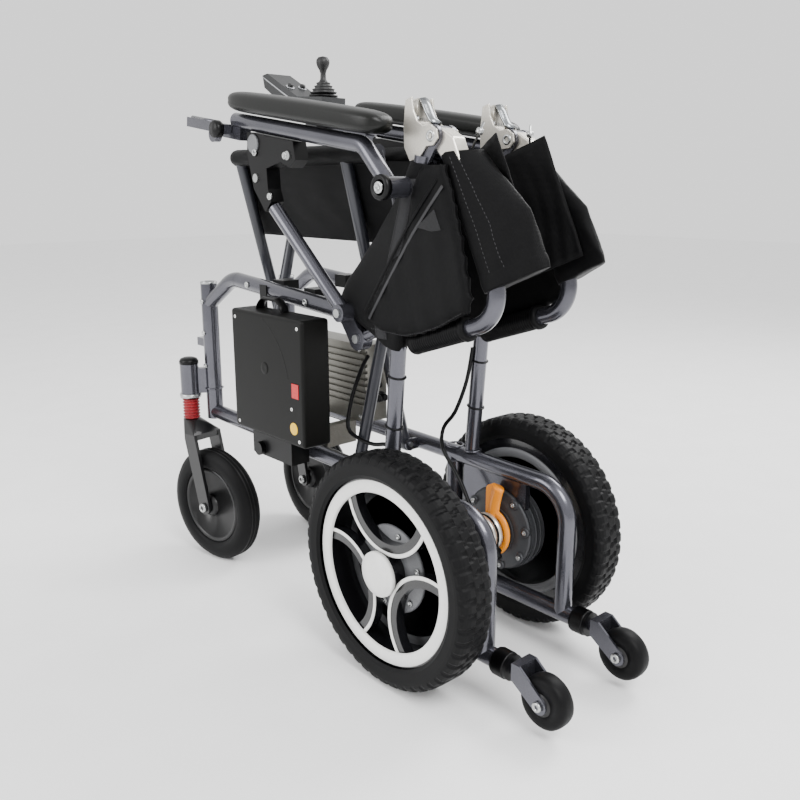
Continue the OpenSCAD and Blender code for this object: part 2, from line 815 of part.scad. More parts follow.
module cable_right() {
    color(black_nylon) on_side(-1) swept_tube(spline(cable_points_right, cable_steps), cable_r, 10);
}

// ---- joystick ----

module joystick_body() {
    color([0.16, 0.16, 0.16]) on_side(-1) difference() {
        union() {
            translate([arm_x - joy_w / 2, 0, 0]) side_plane(0) linear_extrude(height = joy_w)
                polygon([[joy_nose, 836], [joy_nose + 5, 815], [-528, 772], [-505, 756], [-432, 754],
                    [-430, 788], [-500, 793], [-590, 838]]);
            lateral_block(arm_x - 9, -500, 734, 31, 32, 23);
        }
        translate([arm_x, joy_y, joy_top - 24]) cylinder(h = 60, r = 21);
        joystick_button_holes();
    }
}

module joystick_button_holes() {
    for (k = [-1, 1]) translate([arm_x + k * 13, button_y, button_z]) rotate([button_tilt, 0, 0])
        cylinder(h = 40, r = 5 + gap);
}

module joystick_stick() {
    color(black_nylon) on_side(-1) translate([arm_x, joy_y, 0]) {
        cylinder_between(joy_top - 21.5, joy_top - 6, 6);
        cylinder_between(joy_top - 6, joy_top + 2, 17);
        cylinder_between(joy_top + 2, joy_top + 20, 16);
        cylinder_between(joy_top + 20, joy_top + stick_h - 28, 5);
        cylinder_between(joy_top + stick_h - 28, joy_top + stick_h, 7);
    }
}

module joystick_buttons() {
    color(black_nylon) on_side(-1)
        for (k = [-1, 1]) translate([arm_x + k * 13, button_y, button_z]) rotate([button_tilt, 0, 0])
            translate([0, 0, 3]) cylinder(h = 10, r = 5);
}

side_frame(1);  // side_frame_left
side_frame(-1);  // side_frame_right
back_cane(1);  // back_cane_left
back_cane(-1);  // back_cane_right
arm_strut(1);  // arm_strut_left
arm_strut(-1);  // arm_strut_right
nylon_fittings(1);  // nylon_fittings_left
nylon_fittings(-1);  // nylon_fittings_right
fasteners(1);  // fasteners_left
fasteners(-1);  // fasteners_right
drive_motor(1);  // drive_motor_left
drive_motor(-1);  // drive_motor_right
clutch_lever(1);  // clutch_lever_left
clutch_lever(-1);  // clutch_lever_right
rear_rim(1);  // rear_rim_left
rear_rim(-1);  // rear_rim_right
rear_tyre(1);  // rear_tyre_left
rear_tyre(-1);  // rear_tyre_right
caster_spring(1);  // caster_spring_left
caster_spring(-1);  // caster_spring_right
caster_fork(1);  // caster_fork_left
caster_fork(-1);  // caster_fork_right
caster_wheel(1);  // caster_wheel_left
caster_wheel(-1);  // caster_wheel_right
antitip_stem(1);  // antitip_stem_left
antitip_stem(-1);  // antitip_stem_right
antitip_wheel(1);  // antitip_wheel_left
antitip_wheel(-1);  // antitip_wheel_right
armrest_tube(1);  // armrest_tube_left
armrest_tube(-1);  // armrest_tube_right
arm_pad(1);  // arm_pad_left
arm_pad(-1);  // arm_pad_right
upper_cane(1);  // upper_cane_left
upper_cane(-1);  // upper_cane_right
push_grip(1);  // push_grip_left
push_grip(-1);  // push_grip_right
fold_lever(1);  // fold_lever_left
fold_lever(-1);  // fold_lever_right
seat_brace(1);  // seat_brace_left
seat_brace(-1);  // seat_brace_right
seat_leaf(1);  // seat_leaf_left
seat_leaf(-1);  // seat_leaf_right
seat_inner(1);  // seat_inner_left
seat_inner(-1);  // seat_inner_right
back_leaf(1);  // back_leaf_left
back_leaf(-1);  // back_leaf_right
back_inner(1);  // back_inner_left
back_inner(-1);  // back_inner_right
top_leaf(1);  // top_leaf_left
top_leaf(-1);  // top_leaf_right
top_inner(1);  // top_inner_left
top_inner(-1);  // top_inner_right
cable_left();
cable_right();
controller();
battery();
battery_switch();
joystick_body();
joystick_stick();
joystick_buttons();
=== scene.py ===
from math import atan2, cos, pi, radians, sin
import bmesh
import bpy
from mathutils import Matrix, Vector


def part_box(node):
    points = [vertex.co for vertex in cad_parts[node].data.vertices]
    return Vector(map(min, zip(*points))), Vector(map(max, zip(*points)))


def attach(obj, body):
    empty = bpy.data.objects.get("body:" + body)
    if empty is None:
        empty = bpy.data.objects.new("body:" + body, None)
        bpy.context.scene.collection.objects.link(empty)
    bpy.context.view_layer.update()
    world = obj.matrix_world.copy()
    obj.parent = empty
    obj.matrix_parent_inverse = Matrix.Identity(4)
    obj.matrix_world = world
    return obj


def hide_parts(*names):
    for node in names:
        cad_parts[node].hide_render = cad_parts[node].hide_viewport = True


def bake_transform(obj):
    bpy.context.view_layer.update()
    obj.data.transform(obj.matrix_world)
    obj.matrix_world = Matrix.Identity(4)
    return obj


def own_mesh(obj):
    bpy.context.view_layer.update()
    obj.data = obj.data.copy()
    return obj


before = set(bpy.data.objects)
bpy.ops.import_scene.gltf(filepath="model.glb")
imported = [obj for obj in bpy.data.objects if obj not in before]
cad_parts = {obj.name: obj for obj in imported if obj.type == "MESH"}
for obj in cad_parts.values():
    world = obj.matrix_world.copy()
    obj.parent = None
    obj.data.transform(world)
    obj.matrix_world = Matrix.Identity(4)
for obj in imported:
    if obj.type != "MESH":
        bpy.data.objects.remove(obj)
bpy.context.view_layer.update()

SIDES = (("left", 1), ("right", -1))


# The rear axle line is what every length on this chair is taken from.
# Distances are millimetres: across from the mid plane, back from the axle, up from the floor.
low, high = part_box("rear_rim_left")
axle_y = (low[1] + high[1]) / 2


def at(x, y, z):
    return Vector((x / 1000, axle_y + y / 1000, z / 1000))


# The camera stands behind the chair on its left, a little above the wheels.
# It is level and looks slightly down.
turn, tilt = radians(138.0), radians(14.2)
back = Vector((sin(turn) * cos(tilt), -cos(turn) * cos(tilt), sin(tilt)))
right = Vector((cos(turn), sin(turn), 0))
camera = bpy.data.objects.new("camera", bpy.data.cameras.new("camera"))
camera.data.lens = 38.43
camera.data.sensor_width = 36
camera.matrix_world = Matrix((right, back.cross(right), back)).transposed().to_4x4()
camera.location = at(816, 773, 647)
bpy.context.scene.collection.objects.link(camera)
bpy.context.scene.camera = camera


# Studio paper under and behind the chair: matt, nearly white, with a faint fibre.
# Paint, cloth and plastic below use the same three small functions.
def colour(code):
    parts = [int(code[i:i + 2], 16) / 255 for i in (1, 3, 5)]
    return [c / 12.92 if c < 0.04045 else ((c + 0.055) / 1.055) ** 2.4 for c in parts] + [1]


def add(material, kind, inputs=None, **settings):
    made = material.node_tree.nodes.new(kind)
    for name, value in settings.items():
        setattr(made, name, value)
    for name, value in (inputs or {}).items():
        if isinstance(value, bpy.types.NodeSocket):
            material.node_tree.links.new(value, made.inputs[name])
        else:
            made.inputs[name].default_value = value
    return made


def surface(name, light, dark, grain_mm, bump_mm, detail=4, **shader):
    """Two tones mixed by a grain of a real size, with the same grain as relief."""
    material = bpy.data.materials.new(name)
    material.use_nodes = True
    body = material.node_tree.nodes["Principled BSDF"]
    for key, value in shader.items():
        body.inputs[key.replace("_", " ").title().replace("Ior", "IOR")].default_value = value
    place = add(material, "ShaderNodeTexCoord").outputs["Object"]
    grain = add(material, "ShaderNodeTexNoise",
                {"Vector": place, "Scale": 1000 / grain_mm, "Detail": detail})
    cloud = add(material, "ShaderNodeTexNoise", {"Vector": place, "Scale": 9.0, "Detail": 3})
    both = add(material, "ShaderNodeMath", {0: grain.outputs[0], 1: cloud.outputs[0]},
               operation="MULTIPLY")
    tone = add(material, "ShaderNodeValToRGB", {"Fac": both.outputs[0]})
    tone.color_ramp.elements[0].position, tone.color_ramp.elements[0].color = 0.12, colour(dark)
    tone.color_ramp.elements[1].position, tone.color_ramp.elements[1].color = 0.42, colour(light)
    relief = add(material, "ShaderNodeBump", {"Height": grain.outputs[0], "Strength": 0.5,
                                              "Distance": bump_mm / 1000})
    material.node_tree.links.new(tone.outputs[0], body.inputs["Base Color"])
    material.node_tree.links.new(relief.outputs[0], body.inputs["Normal"])
    return material


def dress(name, *materials):
    """Give a CAD node better materials in the order of its slots."""
    node = bpy.data.objects[name]
    for i in range(max(1, len(node.data.materials))):
        chosen = materials[min(i, len(materials) - 1)]
        if i < len(node.data.materials):
            node.data.materials[i] = chosen
        else:
            node.data.materials.append(chosen)


paper = surface("studio_paper", "#fbfbfb", "#f6f6f6", 3, 0.05, roughness=0.9)
mesh = bpy.data.meshes.new("floor")
mesh.from_pydata([(-9, -9, 0), (9, -9, 0), (9, 9, 0), (-9, 9, 0)], [], [(0, 1, 2, 3)])
floor = bpy.data.objects.new("floor", mesh)
floor.data.materials.append(paper)
bpy.context.scene.collection.objects.link(floor)

world = bpy.data.worlds.new("studio")
world.use_nodes = True
world.node_tree.nodes["Background"].inputs["Color"].default_value = (1, 1, 1, 1)
world.node_tree.nodes["Background"].inputs["Strength"].default_value = 1.35
bpy.context.scene.world = world
for name, place, size, power in (
        ("key_light", (0.4, 2.0, 2.4), 1.2, 75), ("fill_light", (2.4, -0.8, 1.5), 1.4, 42),
        ("back_light", (-1.9, 0.2, 2.2), 1.2, 55)):
    lamp = bpy.data.objects.new(name, bpy.data.lights.new(name, "AREA"))
    lamp.data.energy, lamp.data.size = power, size
    lamp.location = place
    lamp.rotation_euler = (Vector((0, 0, 0.4)) - lamp.location).to_track_quat("-Z", "Y").to_euler()
    bpy.context.scene.collection.objects.link(lamp)


# Frame tubes: welded steel, powder coated in a metallic neutral grey under clear coat.
# The flake glints in fine specks, and the coat gives long sharp highlights.
frame_coat = surface("metallic_grey_powder_coat", "#5c5c64", "#43434a", 0.9, 0.02,
                     metallic=0.8, roughness=0.27, coat_weight=0.5, coat_roughness=0.12)
# The seat braces get a darker copy of the frame coat. This is painted shade for the inner side of the chair,
# where the braces stand in shadow.
brace_coat_painted_shade = surface("grey_powder_coat_darkened_for_shade", "#34353d", "#212228", 1.2, 0.03,
                     metallic=0.3, roughness=0.36, coat_weight=0.3, coat_roughness=0.2)
cast_alloy = surface("satin_cast_alloy", "#dcd8cf", "#c2bdb3", 1.4, 0.06, metallic=0.75, roughness=0.3)
zinc = surface("zinc_plated_steel", "#c9cac9", "#a4a6a6", 1.1, 0.03, metallic=1.0, roughness=0.3)
nylon = surface("moulded_black_nylon", "#0a0a0b", "#050506", 0.8, 0.08, roughness=0.36,
                specular_ior_level=0.2)
satin_black = surface("satin_black_powder_coat", "#131315", "#0b0b0c", 0.9, 0.04, roughness=0.36,
                      coat_weight=0.15)
for side, s in SIDES:
    dress("side_frame_" + side, frame_coat)
    dress("back_cane_" + side, frame_coat, cast_alloy)
    dress("arm_strut_" + side, frame_coat)
    dress("nylon_fittings_" + side, nylon)
    dress("fasteners_" + side, zinc)
    dress("seat_brace_" + side, brace_coat_painted_shade)
    dress("antitip_stem_" + side, frame_coat)
    dress("armrest_tube_" + side, frame_coat, cast_alloy)
    dress("upper_cane_" + side, frame_coat, cast_alloy)
    dress("fold_lever_" + side, cast_alloy)
    dress("caster_fork_" + side, satin_black)
    dress("cable_" + side, nylon)


# Weld beads, plugs, cable ties and screws on the side frames and canes.
# Beads are the ripples left where tubes join; ties are 4 mm nylon; screws are pressed socket heads.
def skin(name, rows, material, body, closed=False, smooth=True, caps=False):
    """A surface through rows of points; closed joins each row's end to its start. No body: it blends."""
    points = [p for row in rows for p in row]
    wide = len(rows[0])
    faces = []
    for i in range(len(rows) - 1):
        for k in range(wide if closed else wide - 1):
            m = (k + 1) % wide
            faces.append((i * wide + k, i * wide + m, (i + 1) * wide + m, (i + 1) * wide + k))
    if caps:
        faces.append(tuple(range(wide - 1, -1, -1)))
        faces.append(tuple((len(rows) - 1) * wide + k for k in range(wide)))
    made = bpy.data.meshes.new(name)
    made.from_pydata(points, [], faces)
    facing = bmesh.new()
    facing.from_mesh(made)
    bmesh.ops.recalc_face_normals(facing, faces=facing.faces[:])
    facing.to_mesh(made)
    facing.free()
    if smooth:
        made.shade_smooth()
    piece = bpy.data.objects.new(name, made)
    made.materials.append(material)
    bpy.context.scene.collection.objects.link(piece)
    if body:
        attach(piece, body)
    return piece


def turned(name, profile, start, axis, material, body, steps=40):
    """Lathe work: profile gives (distance along the axis, radius) in millimetres."""
    axis = Vector(axis).normalized()
    u = axis.orthogonal().normalized()
    v = axis.cross(u)
    rows = [[start + axis * (a / 1000) + (u * cos(t) + v * sin(t)) * (r / 1000)
             for t in (2 * pi * k / steps for k in range(steps))] for a, r in profile]
    ends = profile[0][1] > 0.05 and profile[0] != profile[-1]
    return skin(name, rows, material, body, closed=True, caps=ends)


def ring(name, start, axis, r, wire, material, body, steps=48, wave=0.0, waves=0):
    """A round wire bent into a ring, rippled for a weld bead."""
    axis = Vector(axis).normalized()
    u = axis.orthogonal().normalized()
    v = axis.cross(u)
    rows = []
    for k in range(steps + 1):
        t = 2 * pi * k / steps
        out = u * cos(t) + v * sin(t)
        w = wire * (1 + wave * sin(waves * t))
        rows.append([start + (out * (r + w * cos(q)) + axis * (w * sin(q))) / 1000
                     for q in (2 * pi * j / 8 for j in range(8))])
    return skin(name, rows, material, body, closed=True)


def screw_head(name, place, axis, r, material, body):
    return turned(name, [(0, r), (r * 0.45, r), (r * 0.62, r * 0.9), (r * 0.66, r * 0.5),
                         (r * 0.3, r * 0.45), (r * 0.28, 0.01)], place, axis, material, body, 24)


for side, s in SIDES:
    body = side + "_side"
    for i, (y, z, r) in enumerate(((-96, 262, 13), (-96, 240, 13), (-533, 300, 14.6),
                                   (-60, 262, 12))):
        ring(f"weld_{side}_{i}", at(80 * s, y, z), (0, 0, 1), r, 1.6, frame_coat, body, 60, 0.25, 24)
    turned(f"post_rim_{side}", [(0, 14.4), (3, 14.4), (4, 13.4), (4, 11.4), (-4, 11.2)],
           at(80 * s, -533, 482), (0, 0, 1), zinc, body)
    for i, (y, z) in enumerate(((-533, 452), (-533, 398), (-533, 340))):
        screw_head(f"post_screw_{side}_{i}", at((80 + 13.5) * s, y, z), (s, 0, 0), 4.5, zinc, body)
    for i, (y, z) in enumerate(((-390, 493), (-235, 481))):
        screw_head(f"rail_bolt_{side}_{i}", at(92 * s, y, z), (s, 0, 0), 5, zinc, body)
    for i, z in enumerate((590, 520, 400, 330)):
        lean = -2 - 43 * (680 - z) / 208 if z > 472 else -45 - 17 * (472 - z) / 222
        ring(f"cable_tie_{side}_{i}", at(80 * s, lean, z), (0, 0.2, 1), 12, 1.3, nylon, body)
    turned(f"head_cap_{side}", [(0, 16.6), (5, 16.6), (9, 14), (11, 9), (11.5, 0.02)],
           at(114 * s, -556, 344), (0, 0, 1), nylon, body)
    turned(f"head_ring_{side}", [(0, 15), (0, 18), (4, 18.6), (7, 18), (7, 15)],
           at(114 * s, -556, 284.5), (0, 0, 1), zinc, body)
    turned(f"collar_ribs_{side}", [(a, 17.3 + (0.8 if i % 2 else 0)) for i, a in
                                   enumerate([2, 2.01, 5, 5.01, 8, 8.01, 11, 11.01, 14, 14.01, 17, 17.01,
                                           20])],
           at(80 * s, 141, 66), (0, 1, 0), nylon, body)


# Rear wheels: solid black rubber tyres with block tread on gloss moulded rims.
# A white ring and three curved white vanes are pressed into the outer face.
tyre_rubber = surface("solid_tyre_rubber", "#0d0d0e", "#060607", 1.6, 0.15, roughness=0.5,
                      specular_ior_level=0.12)
gloss_black = surface("gloss_black_moulding", "#1a1a1d", "#101012", 4, 0.01, roughness=0.2,
                      coat_weight=0.4)
white_trim = surface("white_moulding", "#f2f2f0", "#e3e3e0", 3, 0.02, roughness=0.3)
grey_cover = surface("grey_moulded_cover", "#77787a", "#5c5d60", 1.2, 0.05, roughness=0.5)


def tyre(name, centre, axis, r1, r0, w, blocks, body, node):
    axis = Vector(axis).normalized()
    u = axis.orthogonal().normalized()
    v = axis.cross(u)
    half = w / 2
    c = min(12, w / 4)
    outline = [(-half + 4, r0), (-half + 1, r0 + 5), (-half, (r0 + r1) / 2), (-half, r1 - c)]
    outline += [(-half + c * (1 - cos(q)), r1 - c + c * sin(q)) for q in (0.35, 0.75, 1.15, 1.5)]
    flat = half - c
    outline += [(-flat * 0.55, r1), (-flat * 0.45, r1), (-1.8, r1),
                (1.8, r1), (flat * 0.45, r1), (flat * 0.55, r1)]
    outline += [(-a, r) for a, r in reversed(outline[:8])]
    steps = blocks * 6
    rows = []
    for a, r in outline:
        row = []
        lane = 0 if abs(a) < 1 else (1 if abs(a) < flat * 0.5 else 2)
        for k in range(steps):
            t = 2 * pi * k / steps
            depth = 0
            if r > r1 - c * 0.75:
                phase = (k + (3 if lane == 2 else 0) + (1 if a > 0 else 0)) % 6
                depth = 2.2 if phase < 2 else 0
            row.append(centre + axis * (a / 1000) + (u * cos(t) + v * sin(t)) * ((r - depth) / 1000))
        rows.append(row)
    piece = skin(name, rows, tyre_rubber, body, closed=True, smooth=False)
    edge = piece.modifiers.new("worn_edges", "BEVEL")
    edge.width, edge.segments, edge.limit_method, edge.angle_limit = 0.0005, 1, "ANGLE", radians(35)
    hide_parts(node)
    return piece


def arc_vane(name, centre, x, path, w, t, material, body, s):
    """A flat bar bent along (y, z) points on the wheel's face, rounded at its edges."""
    rows = []
    for i, p in enumerate(path):
        q0, q1 = path[max(i - 1, 0)], path[min(i + 1, len(path) - 1)]
        d = Vector((q1[0] - q0[0], q1[1] - q0[1])).normalized()
        n = Vector((-d[1], d[0]))
        row = []
        for k in range(12):
            g = 2 * pi * k / 12
            across = cos(g) * w / 2
            up = sin(g) * t / 2 * (1.0 if abs(cos(g)) < 0.8 else 0.6)
            row.append(centre + Vector((s * (x + up), p[0] + n[0] * across, p[1] + n[1] * across)) / 1000)
        rows.append(row)
    return skin(name, rows, material, body, closed=True, caps=True)


for side, s in SIDES:
    body = "rear_wheel_" + side
    centre = at(134 * s, 0, 158)
    tyre("block_tread_tyre_" + side, centre, (1, 0, 0), 158, 126, 54, 52, body, "rear_tyre_" + side)
    dress("rear_rim_" + side, gloss_black)
    turned("white_ring_" + side, [(0, 107), (3, 107.4), (4, 109), (4, 123), (3, 124.6), (0, 125), (0, 107)],
           centre + Vector((0.0165 * s, 0, 0)), (s, 0, 0), white_trim, body, 96)
    turned("hub_cap_" + side, [(0, 30.5), (4, 30.5), (5.4, 29.6), (6, 27), (7, 25.5), (9, 24),
                                (10, 12), (10.2, 0.02)],
           centre + Vector((0.0215 * s, 0, 0)), (s, 0, 0), white_trim, body, 48)
    for j in range(3):
        turn_by = radians(120 * j + 87)
        path = []
        for i in range(25):
            g = radians(-73 + 146 * i / 24)
            y, z = 104 - 75.5 * cos(g), 75.5 * sin(g)
            path.append((y * cos(turn_by) - z * sin(turn_by), y * sin(turn_by) + z * cos(turn_by)))
        arc_vane(f"white_vane_{side}_{j}", centre, 15.6, path, 5.5, 3, white_trim, body, s)
    turned("gear_cover_" + side, [(0, 60), (2, 60), (4, 58), (4, 44), (6, 42), (6, 30)],
           centre + Vector((-0.004 * s, 0, 0)), (s, 0, 0), grey_cover, body, 64)
    for j in range(6):
        g = radians(60 * j + 15)
        screw_head(f"cover_screw_{side}_{j}", centre + Vector((0, 0.051 * cos(g), 0.051 * sin(g))),
                   (s, 0, 0), 4, zinc, body)
    turned("inner_rim_ring_" + side, [(0, 112), (-2, 112), (-3, 110), (-3, 100), (0, 98)],
           centre + Vector((-0.0195 * s, 0, 0)), (s, 0, 0), grey_cover, body, 96)


# Drive motors: cast drums powder coated dark grey, with flange bosses and a cast clamp.
# The orange lever turns on the hub to free the clutch, and its foot is moulded with it.
motor_coat = surface("motor_casting_coat", "#4c4d50", "#37383b", 1.0, 0.1, metallic=0.35, roughness=0.5)
orange = surface("orange_moulding", "#f59a12", "#e88504", 2.0, 0.03, roughness=0.34)
for side, s in SIDES:
    body = side + "_side"
    dress("drive_motor_" + side, motor_coat)
    dress("clutch_lever_" + side, orange)
    hub = at(76 * s, 0, 158)
    turned("motor_flange_" + side, [(0, 61), (-3, 61), (-5, 58), (-5, 50), (-8, 47), (-8, 36)],
           hub, (s, 0, 0), motor_coat, body, 72)
    for j in range(8):
        g = radians(45 * j + 10)
        place = hub + Vector((-0.002 * s, 0.055 * cos(g), 0.055 * sin(g)))
        turned(f"flange_boss_{side}_{j}", [(0, 7), (-5, 7), (-6, 6), (-6, 0.02)], place, (s, 0, 0),
               motor_coat, body, 24)
        screw_head(f"flange_screw_{side}_{j}", place + Vector((-0.006 * s, 0, 0)), (-s, 0, 0), 3.4,
                   zinc, body)
    for j in range(2):
        turned(f"drum_rib_{side}_{j}", [(0, 61.9), (0, 63.3), (3, 63.3), (3, 61.9)],
               at((84 + 10 * j) * s, 0, 158), (s, 0, 0), motor_coat, body, 72)
    turned("motor_gland_" + side, [(0, 8), (6, 8), (6, 9), (9, 9), (9, 6), (18, 5), (18, 3)],
           at(44 * s, 18, 140), (-s * 0.2, 0.8, -0.5), nylon, body, 24)
    turned("shaft_clamp_" + side, [(0, 12), (0, 27), (2, 29), (6, 29), (8, 26.5), (12, 26.5), (14, 29),
            (18, 29),
                                   (20, 27), (20, 12)], at(33.5 * s, 0, 158), (s, 0, 0), cast_alloy, body, 48)
    ring("clamp_tie_" + side, at(43.5 * s, 0, 158), (1, 0, 0), 27.4, 1.8, nylon, body)
    for j, (y, z) in enumerate(((20, 176), (20, 140), (-20, 140))):
        screw_head(f"clamp_screw_{side}_{j}", at(33.5 * s, y * 0.8, 158 + (z - 158) * 0.8), (-s, 0, 0), 4.2,
                   zinc, body)
    lever = "clutch_lever_" + side
    turned("lever_hub_" + side, [(0, 11), (2, 11), (4, 9), (4, 5), (1, 4.5), (1, 0.02)],
           at(64.8 * s, 0, 158), (s, 0, 0), satin_black, lever, 32)
    foot = []
    for i in range(13):
        g = radians(78 - 150 * i / 12)
        foot.append((31 * cos(g), 31 * sin(g)))
    arc_vane("lever_foot_" + side, at(0, 0, 158), 58, foot, 11, 9, orange, lever, s)
    grip_path = [(4 + 9 * (i / 10) ** 2, 18 + 5.2 * i) for i in range(11)]
    arc_vane("lever_grip_" + side, at(0, 0, 158), 58, grip_path, 20, 13, orange, lever, s)



# Casters: grey-black moulded five-spoke wheels with solid ribbed tyres in black forks.
# A red ribbed rubber sleeve covers the spring under each stem head.
red_rubber = surface("red_spring_rubber", "#a81f28", "#73131a", 2.0, 0.05, roughness=0.42)
hub_black = surface("moulded_hub_black", "#141415", "#0b0b0c", 1.2, 0.04, roughness=0.34,
                    specular_ior_level=0.4)
for side, s in SIDES:
    yaw = radians(9.7 if s > 0 else 2.9)
    axis = Vector((cos(yaw), s * sin(yaw), 0))
    body = "caster_wheel_" + side
    centre = at(s * (114 - 56 * sin(yaw)), -556 + 56 * cos(yaw), 99)
    rib = [(-11, 97), (-9.5, 98.8), (-6, 99), (-5.5, 97.4), (-1.2, 97.4), (-0.8, 99), (0.8, 99),
           (1.2, 97.4), (5.5, 97.4), (6, 99), (9.5, 98.8), (11, 97)]
    wall = [(-12, 66), (-17, 69), (-19, 76), (-19, 84), (-17, 92)]
    rubber = turned("caster_tyre_" + side, wall + rib + [(-a, r) for a, r in reversed(wall)] + [(-12, 66)],
                    centre, axis, tyre_rubber, body, 96)
    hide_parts("caster_wheel_" + side)
    turned("caster_rim_" + side, [(-13, 67.5), (-15, 66), (-15, 60), (-4, 58), (4, 58), (15, 60), (15, 66),
                                  (13, 67.5)], centre, axis, hub_black, body, 72)
    turned("caster_hub_" + side, [(-21, 5.1), (-21, 11), (-18, 17), (-8, 20), (8, 20), (18, 17), (21, 11),
                                  (21, 5.1)], centre, axis, hub_black, body, 48)
    u = Vector((0, 0, 1))
    v = axis.cross(u)
    for j in range(5):
        g = 2 * pi * j / 5 + 0.3
        out, along = u * cos(g) + v * sin(g), v * cos(g) - u * sin(g)
        rows = []
        for i in range(9):
            r = 16 + 45 * i / 8
            w, t = 9 - 3.5 * sin(pi * i / 8), 8 - 2.5 * sin(pi * i / 8)
            rows.append([centre + (out * r + along * (w * cos(q)) + axis * (t * sin(q))) / 1000
                         for q in (2 * pi * k / 16 for k in range(16))])
        skin(f"caster_spoke_{side}_{j}", rows, hub_black, body, closed=True)
    fork = "caster_fork_" + side
    for k in (-1, 1):
        screw_head(f"caster_bolt_{side}_{k + 1}", centre + axis * (k * 0.0295), axis * k, 8, zinc, fork)
    sleeve = []
    for i in range(57):
        sleeve.append((i * 37 / 56, 11.8 + 3.0 * sin(pi * i / 8) ** 2))
    spring = turned("spring_sleeve_" + side, sleeve, at(114 * s, -556, 246.3), (0, 0, 1), red_rubber,
                    "caster_slider_" + side, 48)
    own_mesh(spring)
    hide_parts("caster_spring_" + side)
    tip = "antitip_wheel_" + side
    small = at(80 * s, 219, 46)
    part = turned("antitip_tyre_" + side, [(-13, 15), (-13, 26), (-12, 30), (-9, 33), (-4, 34), (4, 34),
                                           (9, 33), (12, 30), (13, 26), (13, 15), (-13, 15)],
                  small, (1, 0, 0), tyre_rubber, tip, 64)
    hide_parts("antitip_wheel_" + side)
    turned("antitip_hub_" + side, [(-13, 15.2), (-12, 15.2), (-11, 12), (-13, 10), (-13, 4.2), (13, 4.2),
                                   (13, 10), (11, 12), (12, 15.2), (13, 15.2)],
           small, (1, 0, 0), hub_black, tip, 40)
    for k in (-1, 1):
        screw_head(f"antitip_bolt_{side}_{k + 1}", small + Vector((k * 0.0175, 0, 0)), (k, 0, 0), 6.5, zinc,
                   "antitip_stem_" + side)


# Push grips: soft black rubber sleeves with turned ribs and a closed, rounded end.
# They are pushed over the last bend of the upper canes.
grip_rubber = surface("ribbed_grip_rubber", "#0b0b0c", "#050506", 0.9, 0.12, roughness=0.48,
                      specular_ior_level=0.12)
end, bend = Vector((-30, 445)), Vector((126, 497))
run = (end - bend).normalized()
for side, s in SIDES:
    tip = end - run * 104
    profile = [(0, 11.6), (0, 15.6), (3, 16.4), (7, 16.4), (9, 14)]
    for i in range(22):
        profile += [(10 + i * 3.9, 13.2), (11.5 + i * 3.9, 15), (12.8 + i * 3.9, 15)]
    profile += [(97, 14.6), (99, 15.4), (102, 14.6), (103.6, 11), (104, 0.02)]
    grip = turned("ribbed_grip_" + side, profile, at(68 * s, tip[0], tip[1]), (0, run[0], run[1]),
                  grip_rubber, "upper_back_" + side, 40)
    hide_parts("push_grip_" + side)


# Upholstery: black woven nylon, sewn into sleeves over the canes and a sling over the seat rails.
# The thread is about half a millimetre, drawn as 1.4 mm so that it shows; seams are dark grey thread.
woven = surface("black_woven_nylon", "#09090a", "#040405", 5, 0.3, roughness=0.5, sheen_weight=0.015,
                specular_ior_level=0.09)
body_node = woven.node_tree.nodes["Principled BSDF"]
spot = add(woven, "ShaderNodeTexCoord").outputs["Object"]
weft = add(woven, "ShaderNodeTexWave", {"Vector": spot, "Scale": 1000 / 1.4 / 6.283 * 2, "Distortion": 0.6},
           bands_direction="Z")
warp = add(woven, "ShaderNodeTexWave", {"Vector": spot, "Scale": 1000 / 1.4 / 6.283 * 2, "Distortion": 0.6},
           bands_direction="Y")
crossing = add(woven, "ShaderNodeMath", {0: weft.outputs["Fac"], 1: warp.outputs["Fac"]}, operation="ADD")
thread = add(woven, "ShaderNodeBump", {"Height": crossing.outputs[0], "Strength": 0.35, "Distance": 0.0005})
woven.node_tree.links.new(thread.outputs[0], body_node.inputs["Normal"])
seam_thread = surface("grey_seam_thread", "#2c2c2f", "#1c1c1e", 1, 0.1, roughness=0.7)
mesh_cloth = surface("black_spacer_mesh", "#1c1c20", "#08080a", 2.4, 0.6, roughness=0.85)


def rounded(points, times=3):
    for _ in range(times):
        cut = []
        for i, p in enumerate(points):
            q = points[(i + 1) % len(points)]
            cut += [(p[0] * 0.75 + q[0] * 0.25, p[1] * 0.75 + q[1] * 0.25),
                    (p[0] * 0.25 + q[0] * 0.75, p[1] * 0.25 + q[1] * 0.75)]
        points = cut
    return points


def stitches(name, path, body, pitch=4.2, thick=0.5):
    """A row of short raised threads along a path of points."""
    verts, faces = [], []
    for a, b in zip(path, path[1:]):
        d = b - a
        n = max(1, int(d.length * 1000 / pitch))
        w = d.orthogonal().normalized()
        h = d.normalized().cross(w)
        for i in range(n):
            p, q = a + d * ((i + 0.15) / n), a + d * ((i + 0.8) / n)
            base = len(verts)
            for c, r in ((p, 0.4), ((p + q) / 2, 1.0), (q, 0.4)):
                for k in range(6):
                    g = 2 * pi * k / 6
                    verts.append(c + (w * cos(g) + h * sin(g)) * (thick * r / 1000))
            for j in (0, 6):
                for k in range(6):
                    m = (k + 1) % 6
                    faces.append((base + j + k, base + j + m, base + j + 6 + m, base + j + 6 + k))
    made = bpy.data.meshes.new(name)
    made.from_pydata(verts, [], faces)
    piece = bpy.data.objects.new(name, made)
    made.materials.append(seam_thread)
    bpy.context.scene.collection.objects.link(piece)
    if body:
        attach(piece, body)
    return piece


def crease(t, u, much):
    """Soft folds that run down the cloth and deepen to its lower edge."""
    return much * ((0.5 + t) * sin(u * 31 + 3 * sin(t * 4)) * 0.5 + sin(t * 17 + u * 9) * 0.35
                   + sin(t * 41 - u * 23) * 0.15)


